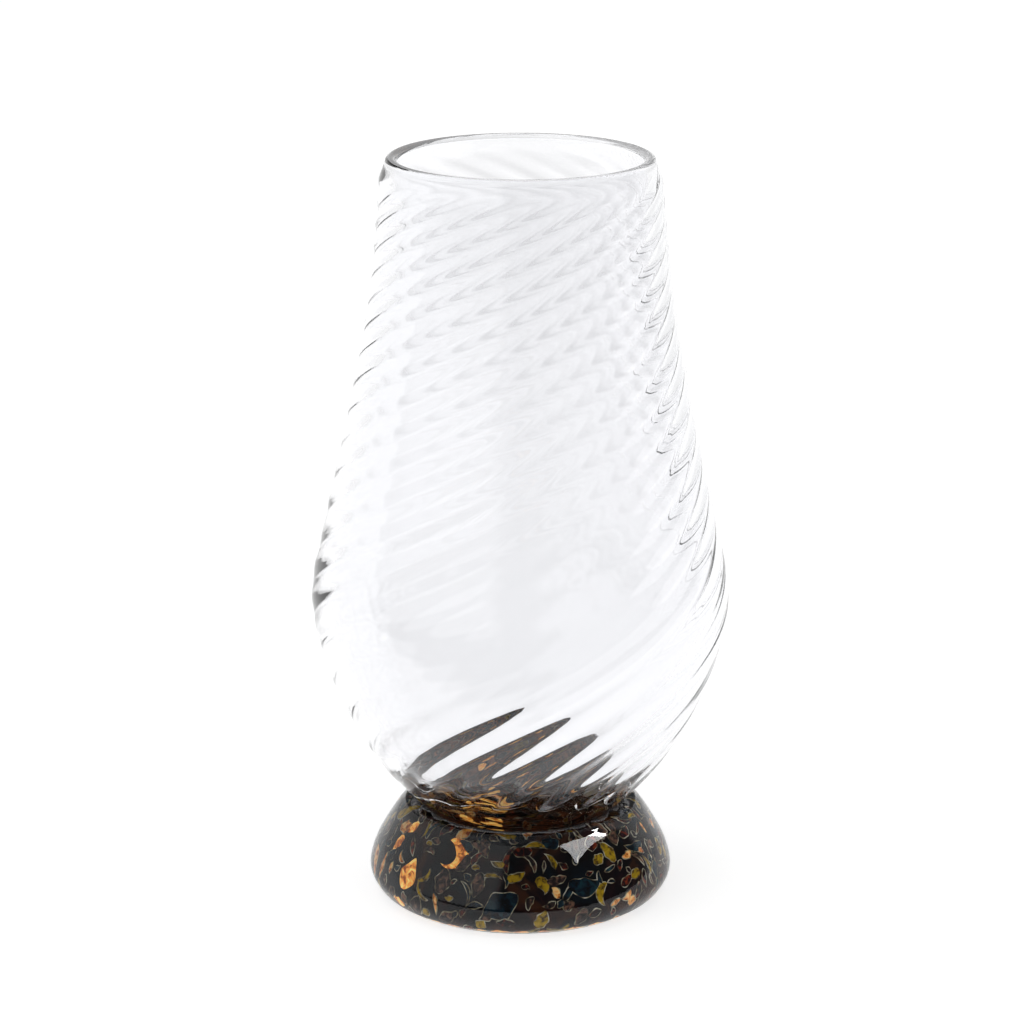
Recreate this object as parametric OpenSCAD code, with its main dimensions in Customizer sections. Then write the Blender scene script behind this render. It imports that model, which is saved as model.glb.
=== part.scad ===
// Stemless tasting glass: a clear blown bowl with twisted optic ribs on a dark cased foot
// with coloured glass chips. The origin is the centre of the underside, +Z is up, millimetres.

/* [Glass] */
// Height from the table to the top of the rim
glass_h = 120; // [105:1:140]
// Largest diameter of the bowl
belly_d = 66.4; // [62:0.2:72]

/* [Rim] */
// Diameter across the crest of the rim
rim_d = 39.8; // [37:0.2:42]
// Thickness of the glass at the rounded rim
rim_t = 2.2; // [1.6:0.1:3]

/* [Optic ribs] */
// Number of ribs round the bowl
rib_count = 18; // [12:1:20]
// Height of a rib crest above the valley beside it
rib_depth = 0.3; // [0.2:0.1:0.8]
// Rise from one rib to the next at the foot, measured straight up
rib_pitch_foot = 7.4; // [6:0.2:12]
// Rise from one rib to the next at the rim, measured straight up
rib_pitch_rim = 3.4; // [3:0.2:5]

/* [Foot] */
// Largest diameter of the foot
foot_d = 48.8; // [46:0.2:52]
// Height of the foot
foot_h = 15; // [13:0.5:18]
// Thickness of the clear casing round the dark core
casing_t = 1.6; // [1.2:0.1:2.2]
// Height of the core's domed top above the edge the bowl sits on
dome_h = 1.2; // [0.8:0.1:1.4]

/* [Frit chips] */
// Chips in one row round the side of the foot
chips_per_row = 20; // [12:1:24]
// Width of a chip
chip_w = 5; // [3:0.2:5.4]
// Depth of a chip in the core
chip_t = 0.8; // [0.5:0.1:1.2]
// Seed for the chip shapes
chip_seed = 7; // [1:1:40]

/* [Hidden] */
$fn = 96;

function last(list) = list[len(list) - 1];

// Outlines are points [radius, height], as shares of the largest radius and the height.
belly_r = belly_d / 2;
foot_r = foot_d / 2;
bowl_h = glass_h - foot_h;

// Outside of the foot, from its flat underside to the ledge round the bowl
foot_outline = [for (p = [[0.88, 0], [0.955, 0.09], [1, 0.26], [0.97, 0.48], [0.9, 0.7], [0.82, 0.9], [0.76, 1]])
    [p[0] * foot_r, p[1] * foot_h]];

// The bowl is melted on to the core inside the ledge
ledge_t = 1;            // clear glass between the core's shoulder and the bowl
seat_r = last(foot_outline)[0] - casing_t - ledge_t;

// Outside of the bowl, from the foot to where the ribs end under the rim
bowl_outline = concat([[seat_r, foot_h]],
    [for (p = [[0.626, 0.048], [0.795, 0.124], [0.94, 0.229], [1, 0.333],
               [0.94, 0.438], [0.831, 0.6], [0.723, 0.781], [0.668, 0.943]])
        [p[0] * belly_r, foot_h + p[1] * bowl_h]]);

// Inside of the bowl, from the middle of its floor to the same height
hollow_outline = [for (p = [[0, 0.018], [0.25, 0.02], [0.45, 0.034], [0.6, 0.071], [0.72, 0.125], [0.87, 0.229],
                            [0.936, 0.333], [0.88, 0.438], [0.771, 0.6], [0.663, 0.781], [0.608, 0.943]])
    [p[0] * belly_r, foot_h + p[1] * bowl_h]];

// Side of the dark core: the foot's outline drawn in by the casing's thickness, then over its shoulder
shoulder = 0.97;        // height of the shoulder as a share of the foot's height
core_outline = [for (i = [0 : len(foot_outline)])
    i < len(foot_outline) - 1 ? foot_outline[i] - [casing_t, 0]
    : i < len(foot_outline) ? [last(foot_outline)[0] - casing_t, shoulder * foot_h]
    : [seat_r, foot_h]];

outline_steps = 6;      // straight steps between two points of an outline
side_steps = 3;         // the same, on the foot
sides_per_rib = 4;
rib_fade = 0.06;        // share of the ribbed height over which the ribs grow or fade
seam_gap = 0.02;        // how far the ribbed wall's corners stay inside the round rim band

// Point at t (0 to 1) between points i and i + 1 of a smooth line through all the points
function spline_point(pts, i, t) =
    let (b = pts[i], c = pts[i + 1],
         a = i > 0 ? pts[i - 1] : 2 * b - c,
         d = i + 2 < len(pts) ? pts[i + 2] : 2 * c - b)
    0.5 * (2 * b + (c - a) * t + (2 * a - 5 * b + 4 * c - d) * pow(t, 2)
           + (3 * b - a - 3 * c + d) * pow(t, 3));

function spline(pts, steps) = concat(
    [for (i = [0 : len(pts) - 2], k = [0 : steps - 1]) spline_point(pts, i, k / steps)],
    [pts[len(pts) - 1]]);

// Turn of the ribs at height z, in degrees; the pitch changes evenly from the foot to the rim
ribs_top = last(bowl_outline)[1];
pitch_slope = (rib_pitch_rim - rib_pitch_foot) / (ribs_top - foot_h);
function rib_turn(z) =
    360 / (rib_count * pitch_slope) * ln(1 + pitch_slope * (z - foot_h) / rib_pitch_foot);

// Rib height at z: nothing at either end, full in between
function rib_height(z) =
    let (share = (z - foot_h) / (ribs_top - foot_h))
    rib_depth * min(1, share / rib_fade, (1 - share) / rib_fade);

// Outer skin of the bowl as one closed solid, its columns of corners following the ribs
module ribbed_skin() {
    rows = spline(bowl_outline, outline_steps);
    sides = rib_count * sides_per_rib;
    points = [for (row = rows, k = [0 : sides - 1])
        let (angle = k * 360 / sides + rib_turn(row[1]),
             wave = (1 + cos(k * 360 / sides_per_rib)) / 2 - 1,
             r = row[0] - seam_gap + wave * rib_height(row[1]))
        [r * cos(angle), r * sin(angle), row[1]]];
    walls = [for (j = [0 : len(rows) - 2], k = [0 : sides - 1], upper = [0, 1])
        let (near = j * sides + k, next = j * sides + (k + 1) % sides)
        upper == 0 ? [near, near + sides, next + sides] : [near, next + sides, next]];
    floor_face = [for (k = [0 : sides - 1]) k];
    top_face = [for (k = [sides - 1 : -1 : 0]) (len(rows) - 1) * sides + k];
    polyhedron(points, concat(walls, [floor_face, top_face]));
}

module hollow() {
    rotate_extrude() polygon(concat(spline(hollow_outline, outline_steps), [[0, ribs_top]]));
}

// Plain band above the ribs, drawn in a little and rounded over by the flame
module rim_band() {
    rim_r = rim_t / 2;
    crest = [rim_d / 2, glass_h - rim_r];
    outside = last(bowl_outline);
    inside = last(hollow_outline);
    outer_wall = spline([outside, [outside[0] - 0.3, (outside[1] + crest[1]) / 2], crest + [rim_r, 0]], 4);
    inner_wall = spline([crest - [rim_r, 0], [inside[0] - 0.3, (inside[1] + crest[1]) / 2], inside], 4);
    round_over = [for (a = [15 : 15 : 165]) crest + rim_r * [cos(a), sin(a)]];
    rotate_extrude() polygon(concat(outer_wall, round_over, inner_wall));
}

// Domed top of the core, under the bowl; its middle is flat
dome_shares = [1, 0.9, 0.8, 0.65, 0.5, 0.3];      // of the seat's radius
function dome_z(share) = foot_h + dome_h * (1 - pow(share, 4));
dome_line = [for (share = dome_shares) [share * seat_r, dome_z(share)]];

module dome() {
    rotate_extrude() polygon(concat([[0, foot_h - 1], [seat_r, foot_h - 1]], dome_line, [[0, last(dome_line)[1]]]));
}

module bowl() {
    color("aliceblue", 0.35) {
        difference() {
            ribbed_skin();
            hollow();
            dome();
            for (tint = [0 : tints - 1]) top_chips(tint);
        }
        rim_band();
    }
}

core_line = spline(core_outline, side_steps);

module whole_foot() {
    rotate_extrude() polygon(concat([[0, 0]], spline(foot_outline, side_steps), [[0, foot_h]]));
}

module whole_core() {
    rotate_extrude() polygon(concat([[0, 0]], core_line, dome_line, [[0, last(dome_line)[1]]]));
}

module foot_casing() {
    color("lavender", 0.35) difference() {
        whole_foot();
        whole_core();
        for (tint = [0 : tints - 1]) side_chips(tint);
    }
}

module foot_core() {
    color("#241a22") difference() {
        whole_core();
        for (tint = [0 : tints - 1]) chips(tint);
    }
}

// Chips are picked up on the hot core, in rows round its side and rings on its top.
// They are pressed into it and stand a little proud, under the clear casing and the bowl.
tints = 5;
chip_proud = 0.25;
side_rows = [4, 7, 10, 13];                       // point of core_line at the middle of each row
top_rings = [[0.22, 5], [0.48, 10], [0.76, 15]];  // radius as a share of the seat's, and count
chip_h = foot_h * 0.18;
top_chip_w = seat_r * 0.25;

// Irregular chip, h by w, lying on the origin; n picks its shape
module chip(h, w, n) {
    corners = 6;
    reach = rands(0.62, 1, corners, chip_seed * 1000 + n);
    angles = [for (k = [0 : corners - 1]) k * 360 / corners + n * 40];
    translate([0, 0, chip_proud - chip_t])
        linear_extrude(chip_t)
            polygon([for (k = [0 : corners - 1]) reach[k] / 2 * [h * cos(angles[k]), w * sin(angles[k])]]);
}

module side_chips(tint) {
    for (row = [0 : len(side_rows) - 1], k = [0 : chips_per_row - 1]) {
        n = row * chips_per_row + k;
        at = core_line[side_rows[row]];
        along = core_line[side_rows[row] + 1] - core_line[side_rows[row] - 1];
        if ((n * 2 + row) % tints == tint)
            rotate((k + row / 2) * 360 / chips_per_row)
                translate([at[0], 0, at[1]])
                    rotate([0, 90 - atan2(-along[0], along[1]), 0])
                        chip(chip_h, chip_w, n);
    }
}

module top_chips(tint) {
    for (ring = [0 : len(top_rings) - 1], k = [0 : top_rings[ring][1] - 1]) {
        n = 200 + ring * 20 + k;
        share = top_rings[ring][0];
        if ((n * 2 + ring) % tints == tint)
            rotate(k * 360 / top_rings[ring][1])
                translate([share * seat_r, 0, dome_z(share)])
                    rotate([0, atan(4 * dome_h * pow(share, 3) / seat_r), 0])
                        chip(chip_h, top_chip_w, n);
    }
}

module chips(tint) {
    side_chips(tint);
    top_chips(tint);
}

module frit_amber() { color("#d98a2b") chips(0); }
module frit_olive() { color("#a08a2a") chips(1); }
module frit_teal() { color("#1d3a44") chips(2); }
module frit_oxblood() { color("#6b1f1c") chips(3); }
module frit_bronze() { color("#6a5a50") chips(4); }

bowl();
foot_casing();
foot_core();
frit_amber();
frit_olive();
frit_teal();
frit_oxblood();
frit_bronze();
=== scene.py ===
"""Stemless tasting glass: a clear bowl with twisted optic ribs on a dark foot with coloured chips in it."""

import math

import bpy
import numpy as np
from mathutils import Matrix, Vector


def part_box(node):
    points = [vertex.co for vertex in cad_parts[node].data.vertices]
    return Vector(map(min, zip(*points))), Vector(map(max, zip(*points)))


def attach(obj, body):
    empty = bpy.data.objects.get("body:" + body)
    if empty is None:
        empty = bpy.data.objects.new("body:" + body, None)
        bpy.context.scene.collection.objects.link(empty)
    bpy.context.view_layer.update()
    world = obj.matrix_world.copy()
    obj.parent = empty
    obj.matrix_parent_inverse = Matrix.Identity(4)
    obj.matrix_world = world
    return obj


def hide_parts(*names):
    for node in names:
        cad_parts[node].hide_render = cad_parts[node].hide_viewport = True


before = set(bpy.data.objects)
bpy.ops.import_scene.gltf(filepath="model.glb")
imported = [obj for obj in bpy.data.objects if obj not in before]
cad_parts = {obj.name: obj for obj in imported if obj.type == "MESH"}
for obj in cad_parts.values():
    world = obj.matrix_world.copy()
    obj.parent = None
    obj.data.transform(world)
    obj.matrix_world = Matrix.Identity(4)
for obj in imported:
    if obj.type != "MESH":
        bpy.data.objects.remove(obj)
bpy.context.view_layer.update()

MM = 0.001

# ---- Sizes, from the frame ----------------------------------------------------------------------------
BOWL_LO, BOWL_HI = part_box("bowl")
FOOT_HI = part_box("foot_casing")[1]

GLASS_H = BOWL_HI.z
FOOT_H = BOWL_LO.z
BOWL_H = GLASS_H - FOOT_H
BELLY_R = 0.0332                 # largest radius of the bowl
FOOT_R = FOOT_HI.x
RIM_R = 0.95 * MM                # half the thickness of the rounded rim
CREST_R = 20.0 * MM              # radius of the glass at the crest of the rim
RIM_WAIST = 0.3 * MM             # how far the wall is drawn in just under the rim
ROUND_STEP = 15                  # degrees from one row of the rounding to the next
RIM_HIGHLIGHT_CLEARNESS = 0.58             # the crest of the rim has white diffuse mixed in, a painted highlight where it catches light; 1 is clear
RIM_SKIP = 3                     # the painted highlight starts this many rows into the rounding, outside
RIM_SKIP_IN = 1                  # and ends this many rows before the rounding's inner end

# Outlines as in the CAD part, as (radius, height): shares of the belly's radius and the bowl's height,
# and for the foot and core of the foot's radius and height
BOWL_OUTLINE = [(0.48, 0), (0.626, 0.048), (0.795, 0.124), (0.94, 0.229), (1, 0.333),
                (0.94, 0.438), (0.831, 0.6), (0.723, 0.781), (0.668, 0.943)]
HOLLOW_OUTLINE = [(0, 0.018), (0.25, 0.02), (0.45, 0.034), (0.60, 0.071), (0.72, 0.125), (0.87, 0.229),
                  (0.936, 0.333), (0.88, 0.438), (0.771, 0.6), (0.663, 0.781), (0.608, 0.943)]
FOOT_OUTLINE = [(0.88, 0), (0.955, 0.09), (1, 0.26), (0.97, 0.48), (0.9, 0.7), (0.82, 0.9), (0.76, 1)]
CORE_OUTLINE = [(0.81, 0), (0.89, 0.09), (0.934, 0.26), (0.905, 0.48), (0.835, 0.7), (0.755, 0.88),
                (0.70, 0.97), (0.653, 1)]
DOME_H = 1.2 * MM                # the core's top bulges a little into the bowl's base

# ---- Ribs ---------------------------------------------------------------------------------------------
RIB_COUNT = 18
RIB_PITCH_FOOT = 7.4 * MM
RIB_PITCH_RIM = 3.4 * MM
RIB_OUT = 0.15 * MM              # height of the ribs low in the bowl, outside and inside
RIB_IN = 0.15 * MM
RIB_OUT_UPPER = 1.3              # the same above the belly, as a share of that height
RIB_IN_UPPER = 0.7
RIB_TOP = 0.985                  # where the ribs end under the rim, as a share of the bowl's height
RIB_FADE = 0.05                  # over how much of the height they fade out
WOBBLES = ((2, 0.07), (3, 0.05), (5, 0.025))      # waves round the bowl, and their height in mm
COLUMNS_PER_RIB = 14             # mesh columns across one rib
ROW_STEP = 0.8 * MM              # height of the mesh rows, along the wall
TURNED_COLUMNS = 192             # mesh columns round the foot

SEED = 11
rng = np.random.RandomState(SEED)


# ---- Curves -------------------------------------------------------------------------------------------
def spline(points, steps=24):
    """A smooth line through all the points, as an array."""
    p = np.array(points, float)
    p = np.vstack([2 * p[0] - p[1], p, 2 * p[-1] - p[-2]])
    t = np.linspace(0, 1, steps, endpoint=False)[:, None]
    pieces = []
    for a, b, c, d in zip(p, p[1:], p[2:], p[3:]):
        pieces.append(0.5 * (2 * b + (c - a) * t + (2 * a - 5 * b + 4 * c - d) * t ** 2
                             + (3 * b - a - 3 * c + d) * t ** 3))
    return np.vstack(pieces + [p[-2:-1]])


def resample(line, step):
    """The same line with points evenly spaced along it."""
    length = np.concatenate([[0], np.cumsum(np.linalg.norm(np.diff(line, axis=0), axis=1))])
    count = max(2, int(round(length[-1] / step)) + 1)
    at = np.linspace(0, length[-1], count)
    return np.column_stack([np.interp(at, length, line[:, k]) for k in (0, 1)])


def scaled(outline, radius, height, base=0.0):
    return np.array([(r * radius, base + h * height) for r, h in outline])


def normals(line):
    """Unit normals of a line of [radius, height] points, to the right of its direction."""
    d = np.gradient(line, axis=0)
    n = np.column_stack([d[:, 1], -d[:, 0]])
    return n / np.linalg.norm(n, axis=1)[:, None]


def smoothstep(x):
    x = np.clip(x, 0, 1)
    return x * x * (3 - 2 * x)


# ---- Meshes -------------------------------------------------------------------------------------------
def new_object(name, verts, faces, materials, face_materials=None):
    mesh = bpy.data.meshes.new(name)
    mesh.from_pydata([tuple(v) for v in verts], [], faces)
    for m in materials:
        mesh.materials.append(m)
    if face_materials is not None:
        mesh.polygons.foreach_set("material_index", face_materials)
    mesh.polygons.foreach_set("use_smooth", [True] * len(mesh.polygons))
    mesh.update()
    obj = bpy.data.objects.new(name, mesh)
    bpy.context.scene.collection.objects.link(obj)
    return obj


def turned(name, line, columns, materials, band_materials, angles=None, push=None):
    """A solid turned about Z from a closed line of (radius, height) points, or one that starts and ends on
    the axis, with its outside to the right. angles turns each row; push moves each point along the normal."""
    n = normals(line)
    verts, rows = [], []
    for j, (r, z) in enumerate(line):
        if r < 1e-9:
            rows.append([len(verts)])
            verts.append((0.0, 0.0, z))
            continue
        theta = np.arange(columns) * 2 * math.pi / columns
        lift = push[j] if push is not None else np.zeros(columns)
        if angles is not None:
            theta = theta + angles[j]
        rr, zz = r + lift * n[j, 0], z + lift * n[j, 1]
        rows.append(list(range(len(verts), len(verts) + columns)))
        verts.extend(zip(rr * np.cos(theta), rr * np.sin(theta), zz))
    faces, face_mats = [], []
    for j, (low, high) in enumerate(zip(rows, rows[1:])):
        for k in range(columns):
            m = (k + 1) % columns
            if len(low) == 1:
                faces.append((low[0], high[m], high[k]))
            elif len(high) == 1:
                faces.append((low[k], low[m], high[0]))
            else:
                faces.append((low[k], low[m], high[m], high[k]))
            face_mats.append(band_materials[j])
    return new_object(name, verts, faces, materials, face_mats)


# ---- Materials ----------------------------------------------------------------------------------------
def new_material(name):
    m = bpy.data.materials.new(name)
    m.use_nodes = True
    nt = m.node_tree
    nt.nodes.clear()
    out = nt.nodes.new("ShaderNodeOutputMaterial")
    return m, nt, out


def clear_glass(name, clearness=1.0):
    """Clean glass with the faintest cool tint; clearness below 1 mixes in white diffuse, which the rim uses
    as a painted highlight.
    """
    m, nt, out = new_material(name)
    p = nt.nodes.new("ShaderNodeBsdfPrincipled")
    p.inputs["Base Color"].default_value = (0.945, 0.947, 0.960, 1)
    p.inputs["Roughness"].default_value = 0.0
    p.inputs["IOR"].default_value = 1.5
    p.inputs["Transmission Weight"].default_value = clearness
    nt.links.new(p.outputs[0], out.inputs[0])
    return m


def fused_joint():
    """Where two pieces of clear glass are melted together there is nothing to see."""
    m, nt, out = new_material("fused_joint")
    t = nt.nodes.new("ShaderNodeBsdfTransparent")
    nt.links.new(t.outputs[0], out.inputs[0])
    return m


RAMP_START, RAMP_SPAN = 0.38, 0.24    # part of the noise's range over which the colours are spread


def inner_glass(name, colours, cell, glow=0.0):
    """Coloured glass under the clear casing, with no gloss of its own. Its colours drift into one another;
    cell is the size of the drifts, and glow is an emission strength: a painted glow for light coming through
    it."""
    m, nt, out = new_material(name)
    p = nt.nodes.new("ShaderNodeBsdfPrincipled")
    p.inputs["Roughness"].default_value = 0.5
    p.inputs["Specular IOR Level"].default_value = 0.0
    coord = nt.nodes.new("ShaderNodeTexCoord")
    noise = nt.nodes.new("ShaderNodeTexNoise")
    noise.inputs["Scale"].default_value = 1 / cell
    noise.inputs["Detail"].default_value = 3
    noise.inputs["Roughness"].default_value = 0.55
    noise.inputs["Distortion"].default_value = 0.8
    nt.links.new(coord.outputs["Object"], noise.inputs["Vector"])
    ramp = nt.nodes.new("ShaderNodeValToRGB")
    stops = ramp.color_ramp.elements
    while len(stops) < len(colours):
        stops.new(0.5)
    for k, colour in enumerate(colours):
        stops[k].position = RAMP_START + RAMP_SPAN * k / (len(colours) - 1)
        stops[k].color = (*colour, 1)
    nt.links.new(noise.outputs[0], ramp.inputs[0])
    nt.links.new(ramp.outputs[0], p.inputs["Base Color"])
    # Painted glow: emission in the same colours, for light that comes through the chip.
    if glow:
        nt.links.new(ramp.outputs[0], p.inputs["Emission Color"])
        p.inputs["Emission Strength"].default_value = glow
    nt.links.new(p.outputs[0], out.inputs[0])
    return m


# ---- Bowl ---------------------------------------------------------------------------------------------
def dome_line():
    """Top of the core, where the bowl is melted on, from its edge to the middle."""
    r = np.linspace(BOWL_OUTLINE[0][0] * BELLY_R, 0, 14)
    return np.column_stack([r, FOOT_H + DOME_H * (1 - (r / r[0]) ** 4)])


def rib_turn(z):
    """Turn of the ribs at height z, in radians."""
    top = FOOT_H + BOWL_OUTLINE[-1][1] * BOWL_H
    slope = (RIB_PITCH_RIM - RIB_PITCH_FOOT) / (top - FOOT_H)
    z = np.maximum(z, FOOT_H)
    return 2 * math.pi / (RIB_COUNT * slope) * np.log(1 + slope * (z - FOOT_H) / RIB_PITCH_FOOT)


def rib_strength(z, upper_share):
    """Share of the rib height at height z: 1 low in the bowl, upper_share above the belly, 0 at the ends."""
    share = (z - FOOT_H) / BOWL_H
    taper = 1 - (1 - upper_share) * smoothstep((share - 0.1) / 0.4)
    return taper * smoothstep(share / 0.05) * smoothstep((RIB_TOP - share) / RIB_FADE)


def hand_wobble(z, columns):
    """Slight unevenness of a blown wall, as a push along the normal for each row and column."""
    theta = np.arange(columns)[None, :] * 2 * math.pi / columns + rib_turn(z)[:, None]
    up = ((z - FOOT_H) / BOWL_H)[:, None]
    wobble = np.zeros((len(z), columns))
    for lobes, size in WOBBLES:
        phase, climb = rng.uniform(0, 2 * math.pi), rng.uniform(-5, 5)
        wobble += size * MM * np.sin(lobes * theta + phase + climb * up)
    return wobble * smoothstep(up / 0.08) * smoothstep((0.99 - up) / 0.1)


def waist(wall_end, crest):
    """Point half way up from the end of a wall to the crest of the rim, drawn in a little from the wall."""
    return wall_end[0] - RIM_WAIST, (wall_end[1] + crest[1]) / 2


def make_bowl(glass, joint, rim):
    """The blown bubble as one solid: seat on the core, outer wall, rim and hollow, ribbed on both walls."""
    outside = resample(spline(scaled(BOWL_OUTLINE, BELLY_R, BOWL_H, FOOT_H)), ROW_STEP)
    inside = resample(spline(scaled(HOLLOW_OUTLINE, BELLY_R, BOWL_H, FOOT_H))[::-1], ROW_STEP)
    crest = np.array([CREST_R, GLASS_H - RIM_R])
    up = spline([outside[-1], waist(outside[-1], crest), crest + (RIM_R, 0)], 5)[1:]
    down = spline([crest - (RIM_R, 0), waist(inside[0], crest), inside[0]], 5)[:-1]
    a = np.radians(np.arange(ROUND_STEP, 180, ROUND_STEP))
    over = crest + RIM_R * np.column_stack([np.cos(a), np.sin(a)])
    seat = dome_line()[::-1]
    line = np.vstack([seat[:-1], outside, up, over, down, inside])
    line[-1, 0] = 0
    bands = [1] * (len(seat) - 1) + [0] * (len(line) - len(seat))
    n_out = len(seat) - 1 + len(outside) + len(up)
    first_in = len(line) - len(inside) - len(down)
    # The crest of the rim gets the third material: white diffuse mixed in as a painted highlight.
    highlight_from, highlight_to = n_out + RIM_SKIP, first_in - RIM_SKIP_IN
    bands[highlight_from:highlight_to] = [2] * (highlight_to - highlight_from)
    columns = RIB_COUNT * COLUMNS_PER_RIB
    wave = np.cos(np.arange(columns) * 2 * math.pi / COLUMNS_PER_RIB)
    push = np.zeros((len(line), columns))
    uneven = np.repeat(rng.uniform(0.8, 1.2, RIB_COUNT), COLUMNS_PER_RIB)
    uneven = (uneven + np.roll(uneven, COLUMNS_PER_RIB // 2)) / 2
    out_strength = rib_strength(line[:, 1], RIB_OUT_UPPER)[:, None]
    in_strength = rib_strength(line[:, 1], RIB_IN_UPPER)[:, None]
    wobble = hand_wobble(line[:, 1], columns)
    push[len(seat):n_out] = (wobble - RIB_OUT * uneven * (1 - wave) / 2 * out_strength)[len(seat):n_out]
    centre_fade = smoothstep(line[:, 0] / (8 * MM))[:, None]
    push[first_in:] = ((RIB_IN * uneven * (1 + wave) / 2 * in_strength - wobble) * centre_fade)[first_in:]
    return turned("bowl_glass", line, columns, [glass, joint, rim], bands, rib_turn(line[:, 1]), push)


# ---- Foot ---------------------------------------------------------------------------------------------
INLAY_GAP = 0.3 * MM             # room between core and casing, where the chips lie


def core_line(proud=0.0):
    """Side of the core, from the underside up to the bowl's seat; proud pushes it out, less near the seat."""
    line = spline(scaled(CORE_OUTLINE, FOOT_R, FOOT_H), 12)
    fade = np.clip((FOOT_H - line[:, 1]) / (1 * MM), 0, 1)[:, None]
    line = line + normals(line) * proud * fade
    line[:, 1] = np.maximum(line[:, 1], 0)
    return line


def make_casing(glass, joint):
    """Ring of clear glass round the core, with a ledge on top beside the bowl."""
    outer = spline(scaled(FOOT_OUTLINE, FOOT_R, FOOT_H), 12)
    inner = core_line(INLAY_GAP)
    ledge = [(r, FOOT_H) for r in np.linspace(outer[-1, 0], inner[-1, 0], 4)[1:-1]]
    line = np.vstack([inner[::-1], outer, ledge, inner[-1:]])
    bands = [1] * (len(inner) - 1) + [0] * (len(outer) + len(ledge) + 1)
    return turned("casing_glass", line, TURNED_COLUMNS, [glass, joint], bands)


def make_core(side_glass, top_glass):
    """The dark core, closed, and a hair smaller than its outline, so that no two surfaces coincide."""
    side = core_line(-0.02 * MM) - (0, 0.01 * MM)
    side[0, 1] = 0
    line = np.vstack([[(0, 0)], side, dome_line()[1:] - (0, 0.02 * MM)])
    bands = [0] * len(side) + [1] * (len(line) - 1 - len(side))
    return turned("core_glass", line, TURNED_COLUMNS, [side_glass, top_glass], bands)


# ---- Chips --------------------------------------------------------------------------------------------
TINTS = ("amber", "olive", "teal", "oxblood", "bronze")
FILL_COLOURS = {                 # from the deepest to the brightest part of each
    "amber": ((0.38, 0.09, 0.015), (0.95, 0.42, 0.10), (1.00, 0.70, 0.30)),
    "olive": ((0.08, 0.05, 0.01), (0.38, 0.25, 0.012), (0.52, 0.35, 0.02)),
    "teal": ((0.003, 0.004, 0.006), (0.004, 0.016, 0.032), (0.010, 0.045, 0.06)),
    "oxblood": ((0.006, 0.003, 0.004), (0.025, 0.005, 0.008), (0.25, 0.04, 0.012)),
    "bronze": ((0.008, 0.006, 0.008), (0.05, 0.032, 0.028), (0.22, 0.12, 0.08)),
}
CORE_COLOURS = ((0.002, 0.007, 0.013), (0.003, 0.002, 0.003), (0.012, 0.003, 0.006), (0.05, 0.016, 0.006))
CORE_TOP_COLOURS = ((0.003, 0.002, 0.003), (0.03, 0.010, 0.008), (0.38, 0.12, 0.04), (0.008, 0.003, 0.004))
EDGE_COLOURS = ((0.05, 0.04, 0.03), (0.30, 0.26, 0.16), (0.62, 0.60, 0.47))
# Colours of the painted glow, which stands in for light from the table coming through the chips
PAINTED_GLOW_COLOURS = ((0.30, 0.07, 0.01), (0.80, 0.34, 0.06), (0.95, 0.64, 0.20))
EDGE_W = 0.17 * MM               # width of the pale line round a chip
CHIP_RISE = 0.16 * MM            # how far a chip stands out of the core
CHIP_SINK = 0.3 * MM             # how deep it is sunk in the core
STATIONS = 26                    # points along a chip
SIDE_STEP = 0.2 * MM
CORE_SIDE = resample(core_line(), SIDE_STEP)
CORE_ARC = np.linspace(0, 1, len(CORE_SIDE))
SIDE_LENGTH = SIDE_STEP * (len(CORE_SIDE) - 1)

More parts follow.
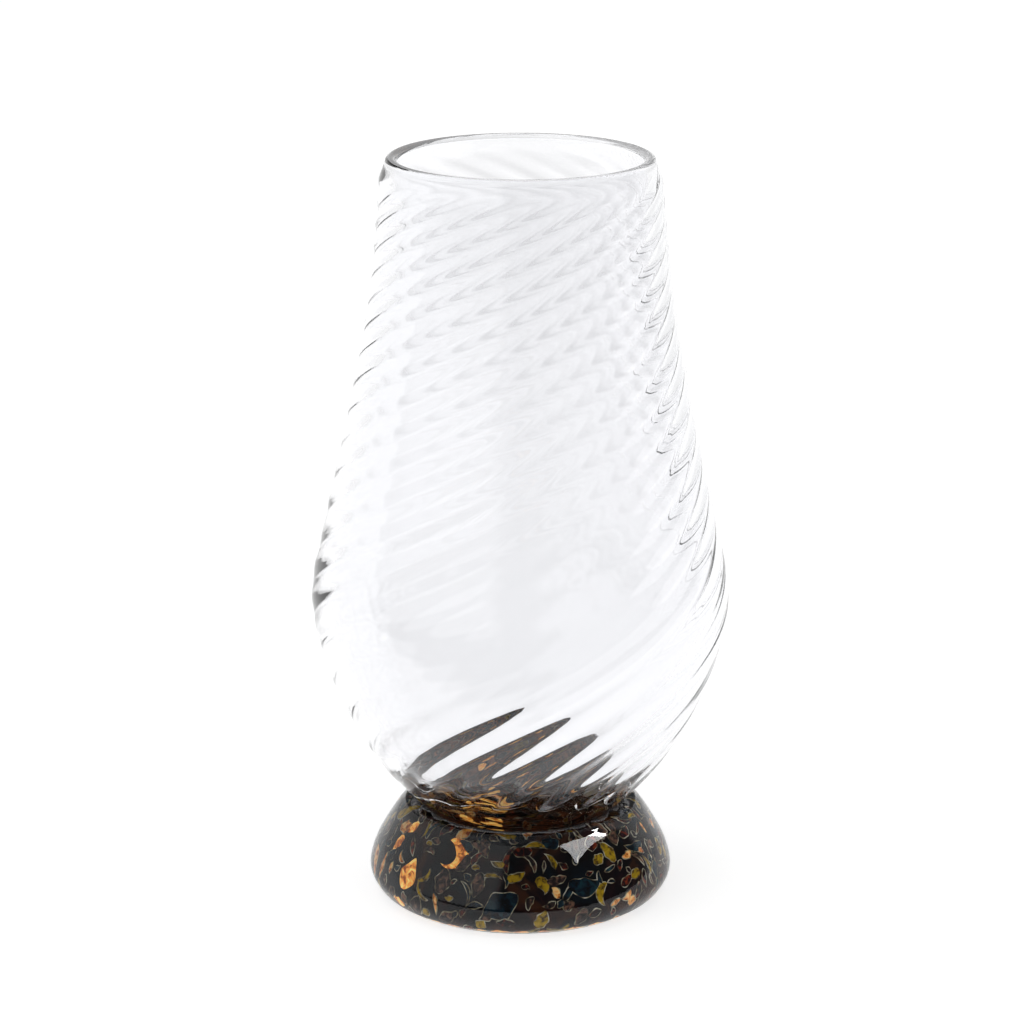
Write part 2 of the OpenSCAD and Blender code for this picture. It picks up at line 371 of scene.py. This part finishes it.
# Chips on the front of the foot: azimuth from the camera in degrees (right is +), height as a share of the
# core's side, length and width in mm, bend of the long axis in degrees, turn from level in degrees, colour
FRONT_CHIPS = [
    (-62, 0.80, 2.6, 1.5, 30, 60, "amber"), (-66, 0.62, 3.2, 1.6, 10, 70, "amber"),
    (-52, 0.45, 5.4, 3.4, 25, 75, "amber"), (-36, 0.72, 8.5, 2.0, 230, 80, "amber"),
    (-34, 0.48, 4.2, 2.9, 35, 80, "bronze"), (-45, 0.24, 3.0, 2.6, 20, 60, "bronze"),
    (-26, 0.66, 3.3, 2.3, 15, 60, "bronze"), (-18, 0.50, 4.1, 2.2, 20, 78, "bronze"),
    (-24, 0.40, 5.2, 0.7, 120, 100, "teal"), (-31, 0.20, 4.0, 1.9, 20, 25, "bronze"),
    (-10, 0.70, 2.6, 1.3, 60, -10, "olive"), (-16, 0.18, 2.0, 1.8, 10, 50, "olive"),
    (-21, 0.10, 2.8, 2.2, 10, 20, "oxblood"), (-2, 0.60, 3.2, 1.7, 60, 20, "olive"),
    (1, 0.80, 3.0, 1.9, 20, 5, "oxblood"), (-7, 0.55, 2.8, 0.9, 90, 100, "teal"),
    (-8, 0.36, 6.2, 4.2, 20, 30, "teal"), (-6, 0.22, 3.0, 1.5, 30, 0, "oxblood"),
    (1, 0.13, 5.6, 1.3, 70, 8, "olive"), (7, 0.82, 3.6, 1.0, -80, 0, "olive"),
    (13, 0.70, 3.4, 1.1, -70, -60, "olive"), (10, 0.66, 2.2, 0.7, 20, 80, "bronze"),
    (15, 0.55, 3.4, 1.6, 25, 10, "bronze"), (19, 0.66, 1.9, 1.2, 30, -40, "oxblood"),
    (11, 0.36, 2.5, 1.1, 60, 15, "bronze"), (15, 0.17, 4.6, 1.4, 150, 5, "olive"),
    (8, 0.24, 3.0, 2.2, 30, 60, "olive"), (27, 0.50, 5.6, 3.0, 80, -10, "teal"),
    (30, 0.56, 1.6, 0.9, 20, 10, "oxblood"), (36, 0.66, 2.4, 1.8, 30, 30, "olive"),
    (42, 0.68, 3.8, 2.1, 35, 110, "olive"), (36, 0.36, 4.6, 1.5, -150, 80, "olive"),
    (52, 0.62, 2.6, 1.3, 70, 10, "amber"), (47, 0.42, 2.8, 1.6, 30, 20, "oxblood"),
    (54, 0.20, 3.6, 2.2, 25, 60, "bronze"), (42, 0.10, 2.4, 2.2, 10, 0, "amber"),
    (62, 0.45, 3.6, 0.9, 50, 100, "olive"), (68, 0.55, 3.4, 1.2, 30, 80, "bronze"),
    (24, 0.22, 3.0, 2.0, 20, 60, "bronze"), (-14, 0.26, 2.4, 1.6, 40, 30, "bronze"),
    (30, 0.24, 2.4, 1.4, 30, 10, "oxblood"), (-56, 0.22, 3.0, 1.4, 60, -20, "amber"),
]
# Slivers that run round the core's side just above the bottom edge, all with the painted glow: azimuth,
# length in mm, colour
EDGE_SLIVERS = [
    (-58, 3.0, "amber"), (-48, 3.5, "amber"), (-38, 4.0, "olive"), (-29, 3.0, "amber"), (-20, 4.5, "amber"),
    (-8, 3.5, "olive"), (2, 4.0, "amber"), (12, 3.5, "olive"), (22, 4.5, "olive"), (34, 3.5, "bronze"),
    (47, 4.0, "amber"), (75, 3.0, "olive"), (100, 4.0, "amber"), (128, 3.0, "amber"), (155, 4.0, "olive"),
    (-85, 4.0, "olive"), (-112, 3.5, "amber"), (-140, 4.0, "amber"), (-166, 3.0, "bronze"),
]


def chip_shape(length, width, bend, rand):
    """A bent leaf of glass with a raised middle, as rows of (u, v, height) points in metres."""
    t = np.linspace(0, 1, STATIONS)
    fat = rand.uniform(0.45, 0.8)                    # below 1 the ends are blunt
    peak = rand.uniform(0.35, 0.65)
    warp = t ** (math.log(0.5) / math.log(peak))     # moves the widest part along
    half = np.maximum(width / 2 * np.sin(math.pi * warp) ** fat, 0.02 * MM)
    ripple = 1 + 0.12 * np.sin(2 * math.pi * (t * rand.uniform(1, 2.5) + rand.rand()))
    angle = math.radians(bend) * (t - 0.5)
    step = length / (STATIONS - 1)
    along = np.column_stack([np.cos(angle), np.sin(angle)])
    centre = np.cumsum(along * step, axis=0)
    centre -= (centre[0] + centre[-1]) / 2
    across = np.column_stack([-along[:, 1], along[:, 0]])
    inner = np.maximum(half - EDGE_W, 0)
    grid = []
    for share in (-2, -1, -0.5, 0, 0.5, 1, 2):       # -2 and 2 are the chip's own edges, outside its fill
        offset = np.sign(share) * half * ripple if abs(share) == 2 else share * inner * ripple
        lift = CHIP_RISE * (1 - (offset / half) ** 2 * 0.85) * np.sqrt(np.clip(half / (0.4 * MM), 0, 1))
        grid.append(np.column_stack([centre + across * offset[:, None], lift]))
    return np.array(grid)


EDGE_SHARE = 0.105               # height of the slivers as a share of the core's side
EDGE_SLIVER_W = 0.8              # in mm, as the chips' sizes
TABLE_GAP = 0.02 * MM            # the chips stay this far above the underside


def on_side(theta, share):
    """Place of a chip on the core's side, as a function that moves (u, v, height) points there."""
    def place(points):
        s = share + points[:, 1] / SIDE_LENGTH
        s = np.clip(s, 0.005, 0.995)
        line_n = normals(CORE_SIDE)
        r, z, nr, nz = (np.interp(s, CORE_ARC, c) for c in (*CORE_SIDE.T, *line_n.T))
        a = theta + points[:, 0] / r
        r = r + points[:, 2] * nr
        z = np.maximum(z + points[:, 2] * nz, TABLE_GAP)
        return np.column_stack([r * np.cos(a), r * np.sin(a), z])
    return place


def on_top(theta, radius):
    """The same, on the core's top under the bowl."""
    seat_r = BOWL_OUTLINE[0][0] * BELLY_R
    def place(points):
        x = radius - points[:, 1]
        y = points[:, 0]
        r = np.hypot(x, y)
        fit = np.minimum(1, (seat_r - 0.1 * MM) / np.maximum(r, 1e-9))
        x, y, r = x * fit, y * fit, r * fit
        z = FOOT_H + DOME_H * (1 - (r / seat_r) ** 4) + points[:, 2]
        return np.column_stack([x * math.cos(theta) - y * math.sin(theta),
                                x * math.sin(theta) + y * math.cos(theta), z])
    return place


FILL, EDGE, PAINTED_GLOW_SLOT = 0, 1, 2         # material slots; the third is for chips with a painted glow, emission for light that comes through them


def add_chip(parts, place, length, width, bend, turn, rand, fill=FILL):
    """Adds one chip to the mesh lists in parts, as a closed shell sunk into the core."""
    grid = chip_shape(length * MM, width * MM, bend, rand)
    a = math.radians(turn)
    u = grid[:, :, 0] * math.cos(a) - grid[:, :, 1] * math.sin(a)
    v = grid[:, :, 0] * math.sin(a) + grid[:, :, 1] * math.cos(a)
    rows, cols = u.shape
    top = np.column_stack([u.ravel(), v.ravel(), grid[:, :, 2].ravel()])
    under = top.copy()
    under[:, 2] = -CHIP_SINK
    first = len(parts["verts"])
    parts["verts"].extend(place(top).tolist() + place(under).tolist())
    low = rows * cols

    def at(i, j, side=0):
        return first + side * low + i * cols + j

    for i in range(rows - 1):
        for j in range(cols - 1):
            parts["faces"].append((at(i, j), at(i, j + 1), at(i + 1, j + 1), at(i + 1, j)))
            parts["mats"].append(EDGE if i in (0, rows - 2) and fill == FILL else fill)
            parts["faces"].append((at(i, j, 1), at(i + 1, j, 1), at(i + 1, j + 1, 1), at(i, j + 1, 1)))
            parts["mats"].append(FILL)
    rim = [(i, 0) for i in range(rows)] + [(rows - 1, j) for j in range(1, cols)]
    rim += [(i, cols - 1) for i in range(rows - 2, -1, -1)] + [(0, j) for j in range(cols - 2, 0, -1)]
    for (i, j), (k, m) in zip(rim, rim[1:] + rim[:1]):
        parts["faces"].append((at(i, j), at(k, m), at(k, m, 1), at(i, j, 1)))
        parts["mats"].append(EDGE)


TOP_RINGS = ((1.6, 3), (5.0, 7), (8.6, 10), (11.8, 15), (14.6, 21))   # radius in mm, chips in the ring
TOP_TINTS = ("amber", "oxblood", "teal", "olive", "oxblood", "amber", "bronze")
FILLER_TRIES = 2600
FILLER_TINTS = ("bronze", "teal", "oxblood", "olive", "bronze", "oxblood", "amber", "teal", "bronze")

# The least and the most of what is drawn at random: lengths and widths in mm, bends in degrees
TOP_SCATTER = (-0.25, 0.25)      # as a share of the room a chip has in its ring
TOP_LENGTHS = (2.4, 4.4)
TOP_WIDTHS = (1.2, 2.8)
TOP_BENDS = (-110, 110)
FILLER_SHARES = (0.16, 0.93)     # height as a share of the core's side
FILLER_LENGTHS = (1.2, 5.0)
FILLER_WIDTHS = (0.7, 2.4)
FILLER_BENDS = (-140, 140)


def reach(a, b):
    """Least distance between two chips (x, y, length, width) so that they hardly touch."""
    return 0.22 * (a[2] + b[2] + a[3] + b[3]) + 0.1 * MM


def make_frit(fills, edge, glow):
    """All the chips, a piece for each colour: on the front, fillers round them, slivers, and on the top."""
    parts = {tint: {"verts": [], "faces": [], "mats": []} for tint in TINTS}
    rand = np.random.RandomState(SEED + 1)
    camera_side = -math.pi / 2
    for azimuth, share, length, width, bend, turn, tint in FRONT_CHIPS:
        place = on_side(camera_side + math.radians(azimuth), share)
        # Amber chips left of the camera get the painted glow.
        lit = tint == "amber" and azimuth < 0
        add_chip(parts[tint], place, length, width, bend, turn, rand, PAINTED_GLOW_SLOT if lit else FILL)
    taken = [(math.radians(c[0]) * FOOT_R, c[1] * SIDE_LENGTH, c[2] * MM, c[3] * MM) for c in FRONT_CHIPS]
    for n in range(FILLER_TRIES):
        azimuth, share = rand.uniform(-math.pi, math.pi), rand.uniform(*FILLER_SHARES)
        length, width = rand.uniform(*FILLER_LENGTHS) * MM, rand.uniform(*FILLER_WIDTHS) * MM
        bend, turn = rand.uniform(*FILLER_BENDS), rand.uniform(0, 180)
        here = (azimuth * FOOT_R, share * SIDE_LENGTH, length, min(width, length * 0.8))
        if all(math.hypot(here[0] - c[0], here[1] - c[1]) > reach(here, c) for c in taken):
            taken.append(here)
            tint = FILLER_TINTS[n % len(FILLER_TINTS)]
            place = on_side(camera_side + azimuth, share)
            add_chip(parts[tint], place, here[2] / MM, here[3] / MM, bend, turn, rand)
    # The slivers all get the painted glow.
    for azimuth, length, tint in EDGE_SLIVERS:
        place = on_side(camera_side + math.radians(azimuth), EDGE_SHARE)
        add_chip(parts[tint], place, length, EDGE_SLIVER_W, 0, 0, rand, PAINTED_GLOW_SLOT)
    for ring, (radius, count) in enumerate(TOP_RINGS):
        # Amber chips in all but the outer ring of the top get the painted glow.
        lit = ("amber",) if ring < len(TOP_RINGS) - 1 else ()
        for k in range(count):
            theta = (k + ring / 2 + rand.uniform(*TOP_SCATTER)) * 2 * math.pi / count
            tint = TOP_TINTS[(k * 2 + ring) % len(TOP_TINTS)]
            length, width = rand.uniform(*TOP_LENGTHS), rand.uniform(*TOP_WIDTHS)
            bend, turn = rand.uniform(*TOP_BENDS), rand.uniform(0, 180)
            place = on_top(theta, radius * MM)
            add_chip(parts[tint], place, length, width, bend, turn, rand, PAINTED_GLOW_SLOT if tint in lit else FILL)
    pieces = []
    for tint, fill in zip(TINTS, fills):
        p = parts[tint]
        pieces.append(new_object("frit_chips_" + tint, p["verts"], p["faces"], [fill, edge, glow], p["mats"]))
        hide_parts("frit_" + tint)
    return pieces


# ---- Stage --------------------------------------------------------------------------------------------
FLOOR_HALF = 12.0                # half the floor's side, in metres
FLOOR_Z = -0.02 * MM
FLOOR_ALBEDO = 0.35              # share of the light that the paper gives back
FLOOR_GLOW = 0.80                # light of its own, which keeps it white
FLOOR_LIT_Y = -59 * MM           # in reflections the paper is fully lit behind this line
FLOOR_DARK_Y = -74 * MM          # and dark in front of this one


def in_reflections_only(nt, light):
    """The share of light given by a socket on rays that were reflected or scattered before, else 1."""
    path = nt.nodes.new("ShaderNodeLightPath")
    reflected = nt.nodes.new("ShaderNodeMath")
    reflected.operation = "ADD"
    reflected.use_clamp = True
    nt.links.new(path.outputs["Glossy Depth"], reflected.inputs[0])
    nt.links.new(path.outputs["Diffuse Depth"], reflected.inputs[1])
    mix = nt.nodes.new("ShaderNodeMix")
    mix.data_type = "FLOAT"
    mix.inputs[2].default_value = 1.0
    nt.links.new(reflected.outputs[0], mix.inputs["Factor"])
    nt.links.new(light, mix.inputs[3])
    return mix.outputs[0]


def make_floor():
    m, nt, out = new_material("floor_paper")
    p = nt.nodes.new("ShaderNodeBsdfPrincipled")
    p.inputs["Roughness"].default_value = 0.8
    p.inputs["Specular IOR Level"].default_value = 0.1
    p.inputs["Emission Color"].default_value = (1, 1, 1, 1)
    coord = nt.nodes.new("ShaderNodeTexCoord")
    split = nt.nodes.new("ShaderNodeSeparateXYZ")
    nt.links.new(coord.outputs["Object"], split.inputs[0])
    lit = nt.nodes.new("ShaderNodeMapRange")
    lit.interpolation_type = "SMOOTHSTEP"
    lit.inputs["From Min"].default_value = FLOOR_DARK_Y
    lit.inputs["From Max"].default_value = FLOOR_LIT_Y
    nt.links.new(split.outputs["Y"], lit.inputs["Value"])
    lit_share = in_reflections_only(nt, lit.outputs[0])
    for socket, full in (("Base Color", FLOOR_ALBEDO), ("Emission Strength", FLOOR_GLOW)):
        share = nt.nodes.new("ShaderNodeMath")
        share.operation = "MULTIPLY"
        share.inputs[1].default_value = full
        nt.links.new(lit_share, share.inputs[0])
        nt.links.new(share.outputs[0], p.inputs[socket])
    nt.links.new(p.outputs[0], out.inputs[0])
    corners = ((-1, -1), (1, -1), (1, 1), (-1, 1))
    verts = [(x * FLOOR_HALF, y * FLOOR_HALF, FLOOR_Z) for x, y in corners]
    floor = new_object("floor", verts, [(0, 1, 2, 3)], [m])


# Unlit parts of the studio, in reflections: azimuth and elevation of the middle, radii in degrees where
# the light starts to fall off and where it is darkest, and the share of light left there
DARK_PARTS = [(48, 10, 68, 60, 0.12), (180, 50, 50, 35, 0.2)]
STUDIO_LIGHT = 0.95
BACKDROP_LIGHT = 1.05            # the same as the camera sees it, just over white


def towards(azimuth, elevation):
    """Direction from the glass. Azimuth 0 is the camera's side and 90 its right."""
    a, e = math.radians(azimuth), math.radians(elevation)
    return (math.sin(a) * math.cos(e), -math.cos(a) * math.cos(e), math.sin(e))


def make_world():
    world = bpy.data.worlds.new("studio")
    world.use_nodes = True
    nt = world.node_tree
    nt.nodes.clear()
    out = nt.nodes.new("ShaderNodeOutputWorld")
    coord = nt.nodes.new("ShaderNodeTexCoord")
    light = None
    for azimuth, elevation, edge, dark, share in DARK_PARTS:
        aim = nt.nodes.new("ShaderNodeVectorMath")
        aim.operation = "DOT_PRODUCT"
        aim.inputs[1].default_value = towards(azimuth, elevation)
        nt.links.new(coord.outputs["Generated"], aim.inputs[0])
        fall = nt.nodes.new("ShaderNodeMapRange")
        fall.interpolation_type = "SMOOTHSTEP"
        fall.inputs["From Min"].default_value = math.cos(math.radians(edge))
        fall.inputs["From Max"].default_value = math.cos(math.radians(dark))
        fall.inputs["To Min"].default_value = 1.0
        fall.inputs["To Max"].default_value = share
        nt.links.new(aim.outputs["Value"], fall.inputs["Value"])
        both = nt.nodes.new("ShaderNodeMath")
        both.operation = "MULTIPLY"
        both.inputs[1].default_value = 1.0
        nt.links.new(fall.outputs[0], both.inputs[0])
        if light is not None:
            nt.links.new(light, both.inputs[1])
        light = both.outputs[0]
    path = nt.nodes.new("ShaderNodeLightPath")
    seen = nt.nodes.new("ShaderNodeMix")
    seen.data_type = "FLOAT"
    nt.links.new(path.outputs["Is Camera Ray"], seen.inputs["Factor"])
    seen.inputs[2].default_value = STUDIO_LIGHT
    seen.inputs[3].default_value = BACKDROP_LIGHT
    strength = nt.nodes.new("ShaderNodeMath")
    strength.operation = "MULTIPLY"
    nt.links.new(seen.outputs[0], strength.inputs[0])
    nt.links.new(in_reflections_only(nt, light), strength.inputs[1])
    bg = nt.nodes.new("ShaderNodeBackground")
    bg.inputs["Color"].default_value = (1, 1, 1, 1)
    nt.links.new(strength.outputs[0], bg.inputs["Strength"])
    nt.links.new(bg.outputs[0], out.inputs[0])
    bpy.context.scene.world = world


def area_light(name, azimuth, elevation, distance, size, radiance):
    """A soft box that faces the glass; radiance is as seen."""
    back = np.array(towards(azimuth, elevation))
    data = bpy.data.lights.new(name, "AREA")
    data.shape = "RECTANGLE"
    data.size, data.size_y = size
    data.energy = radiance * size[0] * size[1] * math.pi
    obj = bpy.data.objects.new(name, data)
    bpy.context.scene.collection.objects.link(obj)
    obj.location = Vector(back * distance) + Vector((0, 0, 0.05))
    obj.rotation_mode = "QUATERNION"
    obj.rotation_quaternion = Vector(-back).to_track_quat("-Z", "Y")
    return obj


def make_lights(casing):
    top = area_light("top_softbox", 0, 86, 1.2, (1.1, 1.1), 2.4)
    top.visible_glossy = False
    top.visible_transmission = False
    window = area_light("right_window", 75, 45, 1.0, (0.7, 0.36), 8)
    pane = area_light("window_pane", 97, 46, 1.0, (0.12, 0.36), 26)
    foot_only = bpy.data.collections.new("lit_by_window")
    foot_only.objects.link(casing)
    for light in (window, pane):
        light.visible_diffuse = False
        light.light_linking.receiver_collection = foot_only


CAMERA_ELEVATION = 16.27         # degrees above the table
CAMERA_DISTANCE = 550.4 * MM     # from the point it aims at
CAMERA_AIM_Z = 62.1 * MM
CAMERA_ASIDE = -0.55 * MM
LENS = 121


def make_camera():
    data = bpy.data.cameras.new("camera")
    data.sensor_width = 36
    data.lens = LENS
    cam = bpy.data.objects.new("camera", data)
    bpy.context.scene.collection.objects.link(cam)
    elevation = math.radians(CAMERA_ELEVATION)
    back = -CAMERA_DISTANCE * math.cos(elevation)
    cam.location = (CAMERA_ASIDE, back, CAMERA_AIM_Z + CAMERA_DISTANCE * math.sin(elevation))
    cam.rotation_euler = (math.pi / 2 - elevation, 0, 0)
    data.clip_start, data.clip_end = 0.01, 50
    bpy.context.scene.camera = cam


def set_look():
    scene = bpy.context.scene
    scene.view_settings.view_transform = "Standard"
    scene.view_settings.gamma = 0.9
    cycles = scene.cycles
    cycles.max_bounces = 32
    cycles.transmission_bounces = 32
    cycles.glossy_bounces = 16
    cycles.diffuse_bounces = 4
    cycles.transparent_max_bounces = 32
    cycles.sample_clamp_indirect = 20
    cycles.use_denoising = True


# ---- Put together -------------------------------------------------------------------------------------
glass = clear_glass("clear_glass")
joint = fused_joint()
# The rim's glass is part white diffuse: a painted highlight on its crest.
bowl = make_bowl(glass, joint, clear_glass("rim_painted_highlight", RIM_HIGHLIGHT_CLEARNESS))
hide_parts("bowl")
casing = make_casing(glass, joint)
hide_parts("foot_casing")
core_side = inner_glass("core_glass", CORE_COLOURS, 7 * MM)
core_top = inner_glass("core_top", CORE_TOP_COLOURS, 2 * MM)
core = make_core(core_side, core_top)
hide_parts("foot_core")
fills = [inner_glass("frit_" + tint, FILL_COLOURS[tint], 1.1 * MM) for tint in TINTS]
# Painted glow: chips made to shine as if lit from within by the table's light.
glow = inner_glass("painted_glow_chip", PAINTED_GLOW_COLOURS, 1.2 * MM, 0.5)
chips = make_frit(fills, inner_glass("chip_edge", EDGE_COLOURS, 2 * MM), glow)
for piece in (bowl, casing, core, *chips):
    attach(piece, "root")
make_floor()
make_world()
make_lights(casing)
make_camera()
set_look()
